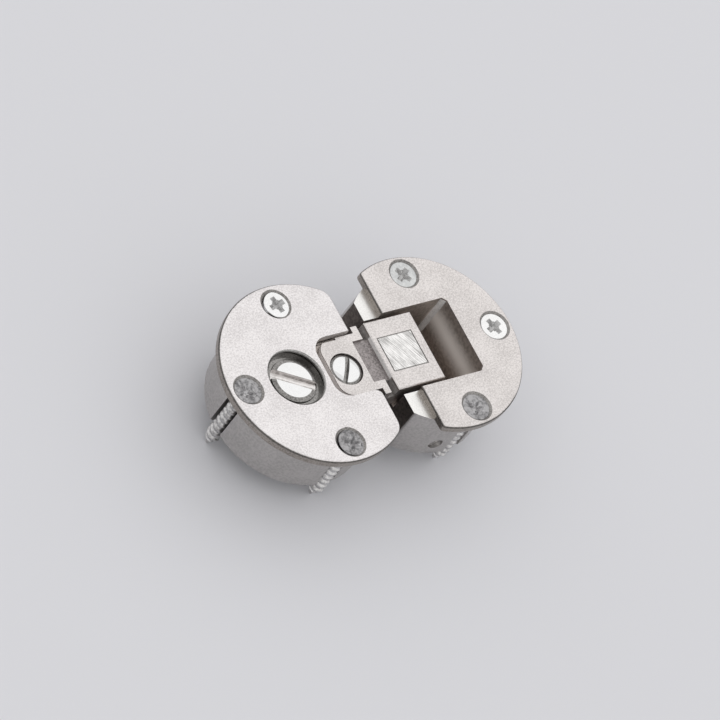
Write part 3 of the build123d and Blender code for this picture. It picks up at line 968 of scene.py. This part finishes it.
@dataclass
class ScrewThreadTree:
    """Geometry Nodes tree that adds a wood-screw thread and a cross recess to a turned head."""

    name: str = "screw_thread_and_recess"
    segments: int = 24
    rows: int = 8

    def build(self) -> bpy.types.NodeTree:
        """Build the tree with its named inputs.

        Returns:
            The node group, to be used by each fixing screw's modifier.
        """
        tree = bpy.data.node_groups.new(self.name, "GeometryNodeTree")
        interface = tree.interface
        interface.new_socket("Geometry", in_out="INPUT", socket_type="NodeSocketGeometry")
        for name in ("Pitch", "Core Radius", "Crest Height", "Thread Top", "Tip Start", "Tip",
                     "Wing Length", "Wing Width", "Recess Top", "Recess Depth", "Recess Turn"):
            interface.new_socket(name, in_out="INPUT", socket_type="NodeSocketFloat")
        for name in ("Thread Finish", "Recess Finish"):
            interface.new_socket(name, in_out="INPUT", socket_type="NodeSocketMaterial")
        interface.new_socket("Geometry", in_out="OUTPUT", socket_type="NodeSocketGeometry")
        graph = Graph(tree)
        source = graph.node("NodeGroupInput")
        given = {socket.name: Value(graph, socket) for socket in source.outputs if socket.name}
        thread = self._thread(graph, given)
        cutter = self._cross(graph, given)
        head = graph.value(
            "GeometryNodeMeshBoolean", "Mesh", {"operation": "DIFFERENCE", "solver": "EXACT"},
            {"Mesh 1": given["Geometry"], "Mesh 2": cutter},
        )
        join = graph.node("GeometryNodeJoinGeometry")
        tree.links.new(thread.socket, join.inputs[0])
        tree.links.new(head.socket, join.inputs[0])
        real = graph.value("GeometryNodeRealizeInstances", 0, None, {"Geometry": join.outputs[0]})
        merged = graph.value("GeometryNodeMergeByDistance", 0, None, {"Geometry": real, "Distance": WELD})
        height = graph.value("ShaderNodeSeparateXYZ", "Z", None, {0: graph.value("GeometryNodeInputPosition")})
        below = graph.maths("LESS_THAN", height, given["Thread Top"] + 0.02 * MM)
        dressed = graph.value(
            "GeometryNodeSetMaterial", 0, None,
            {"Geometry": merged, "Selection": below, "Material": given["Thread Finish"]},
        )
        graph.node("NodeGroupOutput", None, {"Geometry": dressed})
        return tree

    def _thread(self, graph: Graph, given: dict[str, Value]) -> Value:
        """Make the helical strip of the thread, drawn in to a point at the tip.

        Args:
            graph: The tree's graph.
            given: The tree's inputs by name.

        Returns:
            The strip's geometry.
        """
        length = given["Thread Top"] - given["Tip"]
        turns = graph.maths("CEIL", length / given["Pitch"]) + 2.0
        grid = graph.node(
            "GeometryNodeMeshGrid", None,
            {
                "Size X": 1.0, "Size Y": 1.0,
                "Vertices X": turns * self.segments + 1.0, "Vertices Y": self.rows + 1,
            },
        )
        spot = graph.node("ShaderNodeSeparateXYZ", None, {0: graph.value("GeometryNodeInputPosition")})
        along = (Value(graph, spot.outputs["X"]) + 0.5) * turns
        across = Value(graph, spot.outputs["Y"]) + 0.5
        angle = along * (2 * math.pi)
        drop = (along + across - 1.0) * given["Pitch"]
        height = graph.maths("MAXIMUM", graph.maths("MINIMUM", given["Thread Top"] - drop, given["Thread Top"]),
                             given["Tip"])
        taper = ((height - given["Tip"]) / (given["Tip Start"] - given["Tip"])).clamped()
        ridge = graph.maths("MAXIMUM", 1.0 - graph.maths("ABSOLUTE", across - 0.7) / 0.26, 0.0)
        fade_in = graph.maths("DIVIDE", given["Thread Top"] - height, given["Pitch"] * 1.2).clamped()
        fade_out = ((height - given["Tip"]) / (0.25 * given["Pitch"])).clamped()
        radius = given["Core Radius"] * taper + given["Crest Height"] * ridge * fade_in * fade_out * (
            taper * 0.55 + 0.45)
        place = graph.value(
            "ShaderNodeCombineXYZ", 0, None,
            {"X": radius * graph.maths("COSINE", angle), "Y": radius * graph.maths("SINE", angle), "Z": height},
        )
        moved = graph.value(
            "GeometryNodeSetPosition", 0, None, {"Geometry": grid.outputs["Mesh"], "Position": place},
        )
        return graph.value("GeometryNodeMergeByDistance", 0, None, {"Geometry": moved, "Distance": WELD})

    def _cross(self, graph: Graph, given: dict[str, Value]) -> Value:
        """Make the cross recess's cutter: four tapered wings, and four thin ones between them.

        Args:
            graph: The tree's graph.
            given: The tree's inputs by name.

        Returns:
            The cutter's geometry.
        """
        both = graph.node("GeometryNodeJoinGeometry")
        for share_long, share_wide, offset in ((1.0, 1.0, 0.0), (0.66, 0.3, math.pi / 4)):
            cone = graph.value(
                "GeometryNodeMeshCone", "Mesh", {"fill_type": "NGON"},
                {"Vertices": 4, "Side Segments": 1, "Radius Top": 1.0, "Radius Bottom": 0.45, "Depth": 1.0},
            )
            square = graph.value(
                "GeometryNodeTransform", "Geometry", None,
                {"Geometry": cone, "Rotation": (0.0, 0.0, math.pi / 4)},
            )
            size = graph.value(
                "ShaderNodeCombineXYZ", 0, None,
                {
                    "X": given["Wing Length"] * (share_long / math.sqrt(2)),
                    "Y": given["Wing Width"] * (share_wide / math.sqrt(2)),
                    "Z": given["Recess Depth"] * (1.1 if share_long == 1.0 else 0.7),
                },
            )
            bar = graph.value("GeometryNodeTransform", "Geometry", None, {"Geometry": square, "Scale": size})
            drop = given["Recess Depth"] * (1.0 if share_long == 1.0 else 0.6)
            place = graph.value("ShaderNodeCombineXYZ", 0, None, {"Z": given["Recess Top"] - drop})
            lowered = graph.value(
                "GeometryNodeTransform", "Geometry", None, {"Geometry": bar, "Translation": place},
            )
            for quarter in (0.0, math.pi / 2):
                turn = graph.value(
                    "ShaderNodeCombineXYZ", 0, None, {"Z": given["Recess Turn"] + (offset + quarter)},
                )
                turned = graph.value(
                    "GeometryNodeTransform", "Geometry", None, {"Geometry": lowered, "Rotation": turn},
                )
                graph.tree.links.new(turned.socket, both.inputs[0])
        union = graph.node(
            "GeometryNodeMeshBoolean", {"operation": "UNION", "solver": "EXACT"},
        )
        graph.tree.links.new(both.outputs[0], union.inputs["Mesh 2"])
        return graph.value(
            "GeometryNodeSetMaterial", 0, None,
            {"Geometry": Value(graph, union.outputs["Mesh"]), "Material": given["Recess Finish"]},
        )


@dataclass
class FixingScrew:
    """A countersunk 3.5 by 20 wood screw with a cross recess."""

    node: str
    body: Body
    centre: Pair
    turn: float
    head_finish: bpy.types.Material
    shank_finish: bpy.types.Material
    recess_finish: bpy.types.Material
    head_radius: float = 2.97
    head_top: float = 1.25
    rim: float = 0.08
    shank_radius: float = 1.2
    crest_height: float = 0.55
    thread_top: float = -1.9
    pitch: float = 1.6
    tip_start: float = -15.6
    tip: float = -18.75
    wing_length: float = 3.9
    wing_width: float = 1.25
    recess_depth: float = 1.0
    around: int = 96
    smooth_angle: float = 30.0

    def profile(self) -> list[Pair]:
        """Return the head's (radius, height) pairs from its top to where the thread starts."""
        cone_end = self.head_top - (self.head_radius - self.shank_radius)
        return [
            (self.head_radius - self.rim, self.head_top),
            (self.head_radius, self.head_top - self.rim),
            (self.head_radius, self.head_top - 2.2 * self.rim),
            (self.shank_radius + 0.12, cone_end - 0.05),
            (self.shank_radius, cone_end - 0.35),
            (self.shank_radius, self.thread_top),
        ]

    def build(self, tree: bpy.types.NodeTree) -> bpy.types.Object:
        """Turn the head, run the thread tree on it and put the screw in its place.

        Args:
            tree: The node group that adds the thread and the recess.

        Returns:
            The finished screw.
        """
        head = lathe(self.profile(), (0.0, 0.0), self.around, self.node + "_head")
        piece = new_object(self.node + "_threaded", head)
        piece.data.materials.append(self.head_finish)
        modifier = piece.modifiers.new("thread", "NODES")
        modifier.node_group = tree
        values: dict[str, Any] = {
            "Pitch": self.pitch * MM, "Core Radius": self.shank_radius * MM,
            "Crest Height": self.crest_height * MM, "Thread Top": self.thread_top * MM,
            "Tip Start": self.tip_start * MM, "Tip": self.tip * MM,
            "Wing Length": self.wing_length * MM, "Wing Width": self.wing_width * MM,
            "Recess Top": self.head_top * MM, "Recess Depth": self.recess_depth * MM,
            "Recess Turn": math.radians(self.turn), "Thread Finish": self.shank_finish,
            "Recess Finish": self.recess_finish,
        }
        for item in tree.interface.items_tree:
            if item.item_type == "SOCKET" and item.in_out == "INPUT" and item.name in values:
                modifier[item.identifier] = values[item.name]
        freeze(piece)
        self._weld(piece.data)
        piece.data.transform(Matrix.Translation(Vector((*self.centre, 0.0)) * MM))
        shade(piece, self.smooth_angle)
        return hand_over(piece, self.body, Slot.ZINC_SCREW, self.node)

    @staticmethod
    def _weld(mesh: bpy.types.Mesh) -> None:
        """Merge the thread's tip and start and make the faces look outwards.

        Args:
            mesh: The screw's mesh.
        """
        work = bmesh.new()
        work.from_mesh(mesh)
        bmesh.ops.remove_doubles(work, verts=work.verts, dist=WELD)
        bmesh.ops.dissolve_degenerate(work, edges=work.edges, dist=TINY)
        bmesh.ops.recalc_face_normals(work, faces=work.faces)
        work.to_mesh(mesh)
        work.free()


# Sub-assemblies

def countersinks(places: Sequence[ScrewPlace]) -> tuple[Triple, ...]:
    """Return rings round the countersinks, for the zone that paints shade in them.

    The far and near base screws stand off their countersinks, as BaseSide says, so their rings are shifted.
    The shift is rough: it puts the ring's middle about 0.26 mm from the countersink's own.

    Args:
        places: Name, x, y and turn of each screw.

    Returns:
        X, y and reach of each ring in millimetres.
    """
    rings = []
    for name, x, y, _ in places:
        shifted = name in ("base_screw_far", "base_screw_near")
        rings.append((x - 0.43 if shifted else x, y * 1.0137 if shifted else y, SINK_REACH))
    return tuple(rings)


def cup_outside(made: Finishes, front: Pair) -> list[Zone]:
    """Return the zones on the outside of either cup.

    Args:
        made: The finishes.
        front: The range of x that holds the cup's flat front, in millimetres.

    Returns:
        The flat front, the rim with its painted shade, the painted dark line at the rim's top and the
        underside.
    """
    return [
        Zone(made.front, (front[0], -FAR, CUP_BOTTOM), (front[1], FAR, 0.05), Facing.SIDEWAYS),
        Zone(made.rim, (-FAR, -FAR, -0.05), (FAR, FAR, RIM_TOP), Facing.SIDEWAYS),
        Zone(made.rim_line, (-FAR, -FAR, 1.2), (FAR, FAR, RIM_LINE_TOP)),
        Zone(made.underside, (-FAR, -FAR, CUP_BOTTOM), (FAR, FAR, 0.05)),
    ]


def sink_zone(made: Finishes, places: Sequence[ScrewPlace]) -> Zone:
    """Return the zone of a cup's countersinks, which paints shade in them."""
    return Zone(
        made.countersink, (-FAR, -FAR, -2.2), (FAR, FAR, FLANGE_TOP), rings=countersinks(places),
    )


def fixing_screws(
    tree: bpy.types.NodeTree,
    made: Finishes,
    body: Body,
    places: Sequence[ScrewPlace],
    heads: dict[str, bpy.types.Material],
) -> None:
    """Build a cup's fixing screws.

    Args:
        tree: The node group that adds the thread and the recess.
        made: The finishes.
        body: The body that the screws ride on.
        places: Name, x, y and turn of each screw.
        heads: The brighter finish of some heads by name, a lit copy of the plating. The others take the dull,
            shaded copy.
    """
    for name, x, y, turn in places:
        FixingScrew(
            name, body, (x, y), turn, heads.get(name, made.zinc_dull), made.zinc_shank,
            made.zinc_recess if name in heads else made.zinc_dull_recess,
        ).build(tree)


@dataclass
class BaseSide:
    """The cup in the fixed panel with its three fixing screws."""

    finishes: Finishes
    # Known fault: the imported nodes base_screw_far and base_screw_near, and the cup's countersinks, are at
    # x = -0.2845, so these two screws stand 0.57 mm off.
    screw_places: tuple[ScrewPlace, ...] = (
        ("base_screw_far", 0.2845, 16.2975, 12.0),
        ("base_screw_left", -16.3, 0.0, 38.0),
        ("base_screw_near", 0.2845, -16.2975, 64.0),
    )

    def build(self, tree: bpy.types.NodeTree) -> None:
        """Build the cup and its screws.

        Args:
            tree: The node group for the fixing screws.
        """
        made = self.finishes
        inner, outer = (ECCENTRIC_X, 0.0, 6.05), (ECCENTRIC_X, 0.0, 6.6)
        Casting(
            "base_cup", "base_cup_cast", Body.BASE, Slot.CAST_NICKEL, made.skin, made.edge,
            [
                # The countersinks, the eccentric's recess and its lip, the line along the top of the tab's
                # recess, the relief, and the recess walls and floor carry painted shade.
                sink_zone(made, self.screw_places),
                Zone(made.head_recess_painted_shade, (-FAR, -FAR, -0.7), (FAR, FAR, 1.26), rings=(inner,)),
                Zone(made.recess_lip, (-FAR, -FAR, 1.2), (FAR, FAR, FLANGE_TOP), rings=(outer,)),
                Zone(made.rim_line, (2.6, -7.1, 1.5), (FAR, 7.1, FLANGE_TOP), Facing.SIDEWAYS, 0.95),
                Zone(made.relief, (2.7, 6.8, -6.0), (9.4, 7.1, 0.0), Facing.SIDEWAYS),
                Zone(made.recess_wall_painted_shade, (2.7, -7.0, -3.0), (FAR, 7.0, 1.6), Facing.SIDEWAYS),
                Zone(made.recess, (2.7, -7.0, -6.0), (FAR, 7.0, -0.25)),
                *cup_outside(made, (11.9, 12.1)),
            ],
            edge_angle=50.0,
            smooth_angle=50.0,
            cuts=(("z", RIM_TOP), ("z", RIM_LINE_TOP), ("z", 0.0), ("x", 9.4)),
        ).build()
        heads = {"base_screw_far": made.zinc_bright}
        fixing_screws(tree, made, Body.BASE, self.screw_places, heads)


@dataclass
class FlapSide:
    """The cup in the flap with its pivot pin and three fixing screws."""

    finishes: Finishes
    screw_places: tuple[ScrewPlace, ...] = (
        ("flap_screw_far", 31.9499, 15.8807, 33.0),
        ("flap_screw_right", 46.0, 0.0, 20.0),
        ("flap_screw_near", 31.9499, -15.8807, 57.0),
    )

    def build(self, tree: bpy.types.NodeTree) -> None:
        """Build the cup, its pin and its screws.

        Args:
            tree: The node group for the fixing screws.
        """
        made = self.finishes
        Casting(
            "flap_cup", "flap_cup_cast", Body.FLAP, Slot.CAST_NICKEL, made.flap_skin, made.edge,
            [
                # The countersinks and the pocket carry painted shade; a near-white finish paints a highlight on
                # the pocket's far corner, and the pocket's own finish paints a highlight band on its end wall.
                sink_zone(made, self.screw_places),
                Zone(made.shoulder, (-FAR, -FAR, -0.3), (22.3, FAR, 0.1), Facing.UP),
                Zone(made.step, (37.0, 7.8, -12.0), (38.4, 8.8, 1.3), Facing.SIDEWAYS, 0.3),
                Zone(made.pocket, (18.0, -8.9, -13.0), (38.5, 8.9, 1.7), Facing.SIDEWAYS),
                Zone(made.pocket, (18.0, -8.9, -13.0), (38.5, 8.9, -0.2)),
                *cup_outside(made, (18.2, 18.6)),
            ],
            edge_angle=50.0,
            smooth_angle=50.0,
            cuts=(("z", RIM_TOP), ("z", RIM_LINE_TOP)),
        ).build()
        Casting(
            "pivot_pin", "pivot_pin_ground", Body.FLAP, Slot.STEEL_PIN, made.pin, made.pin,
            edge_break=0.04 * MM,
        ).build()
        heads = {"flap_screw_far": made.zinc_pale, "flap_screw_right": made.zinc_bright}
        fixing_screws(tree, made, Body.FLAP, self.screw_places, heads)


@dataclass
class ArmSide:
    """The hinge arm with its clamping plate and screw, and the eccentric screw with its ring."""

    finishes: Finishes
    eccentric_x: float = ECCENTRIC_X
    clamp_x: float = 8.3
    clamp_y: float = -0.6

    def build(self) -> None:
        """Build the arm, the two slotted screws and the small parts under the floor."""
        made = self.finishes
        Casting(
            "hinge_arm", "hinge_arm_cast", Body.ARM, Slot.CAST_NICKEL, made.flap_skin, made.edge,
            [
                # The block's front face and the tab's end face get painted light; the line along the tab's top
                # edge, the hollow, the groove ends, the engraved frame line and the recesses carry painted
                # shade.
                Zone(made.field, (18.4, -3.8, 1.0), (26.8, 3.8, 1.2), Facing.UP),
                Zone(made.groove_line, (18.1, -4.1, 0.8), (27.1, 4.1, 1.12)),
                Zone(made.step, (17.1, -4.9, -0.3), (17.5, 4.9, 1.05), Facing.SIDEWAYS, 0.8),
                Zone(made.hollow, (12.7, -4.9, -0.3), (17.3, 4.9, 0.7)),
                Zone(made.rim_line, (4.4, -6.6, 0.45), (9.0, 6.6, 0.62), Facing.SIDEWAYS, 0.8),
                Zone(made.tab_end_painted_light, (4.4, -6.6, -0.75), (8.0, 6.6, 0.5), Facing.SIDEWAYS),
                Zone(made.skin, (2.0, -7.0, -0.75), (12.6, 7.0, -0.65), Facing.UP),
                Zone(made.groove_end_painted_shade, (15.3, -FAR, -2.0), (17.3, FAR, 0.66), Facing.SIDEWAYS),
                Zone(made.groove_end_painted_shade, (15.3, -FAR, -2.0), (17.3, FAR, 0.0)),
                Zone(made.recess, (15.3, -FAR, -14.0), (FAR, FAR, 0.95), Facing.SIDEWAYS),
                Zone(made.recess, (-FAR, -FAR, -13.0), (FAR, FAR, -0.4)),
            ],
            edge_break=0.08 * MM,
            cuts=(("y", 4.8), ("y", -4.8), ("z", 0.45)),
        ).build()
        Casting(
            "clamp_plate", "clamp_plate_rolled", Body.ARM, Slot.STEEL_PIN, made.plate, made.plate,
        ).build()
        self._eccentric()
        self._clamp()

    def _eccentric(self) -> None:
        """Build the eccentric screw and its retaining ring."""
        made = self.finishes
        SlottedScrew(
            "eccentric_screw_polished", "eccentric_screw", Body.ECCENTRIC, (self.eccentric_x, 0.0),
            head=[
                (0.0, 0.55), (3.9, 0.55), (4.0, 0.54), (4.95, 0.32), (5.0, 0.27), (5.0, -0.6), (0.0, -0.6),
            ],
            cam=[(0.0, -0.55), (3.5, -0.55), (3.5, -3.7), (0.0, -3.7)],
            cam_shift=(0.0, -1.3),
            shank=[
                (0.0, -3.65), (2.0, -3.65), (2.0, -8.05), (1.5, -8.05), (1.5, -8.8), (2.0, -8.8),
                (2.0, -9.9), (1.9, -10.0), (0.0, -10.0),
            ],
            slot_width=2.1, slot_floor=-0.35, slot_turn=-32.0, slot_radius=5.0, edge_break=0.12 * MM,
            mirror=made.mirror, milled=made.slot_floor, side=made.plate, cone=made.cone, flat_radius=3.97,
        ).build()
        Casting(
            "retaining_ring", "retaining_ring_snapped", Body.ECCENTRIC, Slot.SPRING_STEEL,
            made.spring, made.spring, edge_break=0.06 * MM,
        ).build()

    def _clamp(self) -> None:
        """Build the clamping screw with its domed head."""
        made = self.finishes
        high, radius, ball, steps = 0.9, 3.5, 9.7, 14
        dome = [(0.0, high)]
        for step in range(1, steps + 1):
            reach = (radius - 0.06) * step / steps
            dome.append((reach, high - ball + math.sqrt(ball**2 - reach**2)))
        dome.append((radius, dome[-1][1] - 0.08))
        # The slot and the dome's outer ring take the cone finish: painted shade in the slot, a painted dark
        # reflection on the ring.
        SlottedScrew(
            "clamp_screw_domed", "clamp_screw", Body.CLAMP, (self.clamp_x, self.clamp_y),
            head=dome + [(radius, -0.9), (0.0, -0.9)],
            shank=[(0.0, -0.85), (1.95, -0.85), (1.95, -8.05), (1.85, -8.15), (0.0, -8.15)],
            slot_width=0.95, slot_floor=0.15, slot_turn=56.0, slot_radius=radius,
            mirror=made.mirror, milled=made.cone, side=made.plate, cone=made.cone, flat_radius=2.95,
        ).build()


# Studio

@dataclass
class Studio:
    """Floor, lamps, surroundings and the camera at the photograph's angle."""

    floor_height: float = -18.75 * MM
    floor_size: float = 6.0
    floor_colour: Colour = (0.738, 0.738, 0.768)
    camera_place: Vector = field(default_factory=lambda: Vector((-0.86612, -0.47493, 1.11717)))
    camera_target: Vector = field(default_factory=lambda: Vector((0.013428, 0.001134, -0.000754)))
    camera_roll: float = 39.37
    lens: float = 378.0
    shade_depth: float = 0.55
    shade_way: Triple = (-0.4, -0.22, 0.89)
    shade_range: Pair = (0.82, 0.95)
    light_level: float = 0.85

    def build(self) -> None:
        """Set up everything round the hinge."""
        self._floor()
        self._surroundings()
        self._lamps()
        self._camera()
        bpy.context.scene.view_settings.view_transform = "Standard"

    def _floor(self) -> None:
        """Lay a plain pale floor under the screw tips."""
        work = bmesh.new()
        bmesh.ops.create_grid(work, x_segments=1, y_segments=1, size=self.floor_size / 2)
        bmesh.ops.translate(work, vec=(0.0, 0.0, self.floor_height), verts=work.verts)
        mesh = bpy.data.meshes.new("floor")
        work.to_mesh(mesh)
        work.free()
        floor = new_object("floor", mesh)
        graph = MetalGraph("pale_floor")
        mesh.materials.append(graph.finish(self.floor_colour, 0.9, 0.0))

    def _surroundings(self) -> None:
        """Make the background white, in reflections too but for a grey patch overhead, with even light."""
        world = bpy.data.worlds.new("studio")
        bpy.context.scene.world = world
        world.use_nodes = True
        graph = Graph(world.node_tree)
        graph.tree.nodes.clear()
        rays = graph.node("ShaderNodeLightPath")
        seen = Value(graph, rays.outputs["Is Camera Ray"]) + Value(graph, rays.outputs["Is Transmission Ray"])
        glossy = Value(graph, rays.outputs["Is Glossy Ray"])
        way = graph.value("ShaderNodeTexCoord", "Generated")
        near = graph.value(
            "ShaderNodeVectorMath", "Value", {"operation": "DOT_PRODUCT"}, {0: way, 1: self.shade_way},
        )
        dome = 1.0 - self.shade_depth * graph.smooth(near, *self.shade_range)
        lit = glossy * dome + (1.0 - glossy) * self.light_level
        strength = seen.clamped() + (1.0 - seen.clamped()) * lit
        white = (1.0, 1.0, 1.0, 1.0)
        back = graph.node("ShaderNodeBackground", None, {"Color": white, "Strength": strength})
        graph.node("ShaderNodeOutputWorld", None, {"Surface": back.outputs[0]})

    def _lamps(self) -> None:
        """Hang two soft lamps: a large one behind the hinge and a smaller one on its left."""
        self._lamp("back_softbox", (0.62, 0.34, 0.82), 1.0, 0.7)
        self._lamp("left_softbox", (-0.72, 0.12, 0.84), 0.4, 0.3)

    @staticmethod
    def _lamp(name: str, place: Triple, size: float, power: float) -> None:
        """Hang a square lamp that faces the origin.

        Args:
            name: The lamp's name.
            place: Where it hangs, in metres.
            size: Its side in metres.
            power: Its power in watts.
        """
        lamp = bpy.data.lights.new(name, "AREA")
        lamp.shape = "SQUARE"
        lamp.size = size
        lamp.energy = power
        holder = bpy.data.objects.new(name, lamp)
        bpy.context.scene.collection.objects.link(holder)
        holder.location = place
        holder.rotation_euler = (-Vector(place)).to_track_quat("-Z", "Y").to_euler()

    def _camera(self) -> None:
        """Put the camera at the photograph's viewing angle."""
        camera = bpy.data.cameras.new("camera")
        camera.lens = self.lens
        camera.sensor_width = 36.0
        camera.clip_start = 0.05
        camera.clip_end = 20.0
        holder = bpy.data.objects.new("camera", camera)
        bpy.context.scene.collection.objects.link(holder)
        back = (self.camera_place - self.camera_target).normalized()
        side = Vector((0.0, 0.0, 1.0)).cross(back).normalized()
        level_up = back.cross(side)
        roll = math.radians(self.camera_roll)
        right = math.cos(roll) * side + math.sin(roll) * level_up
        up = -math.sin(roll) * side + math.cos(roll) * level_up
        turn = Matrix((right, up, back)).transposed().to_4x4()
        holder.matrix_world = Matrix.Translation(self.camera_place) @ turn
        bpy.context.scene.camera = holder


def main() -> None:
    """Build the studio and the hinge."""
    logging.basicConfig(level=logging.INFO, format="%(name)s %(message)s")
    Studio().build()
    finishes = Finishes()
    tree = ScrewThreadTree().build()
    BaseSide(finishes).build(tree)
    FlapSide(finishes).build(tree)
    ArmSide(finishes).build()


if __name__ == "__main__":
    main()
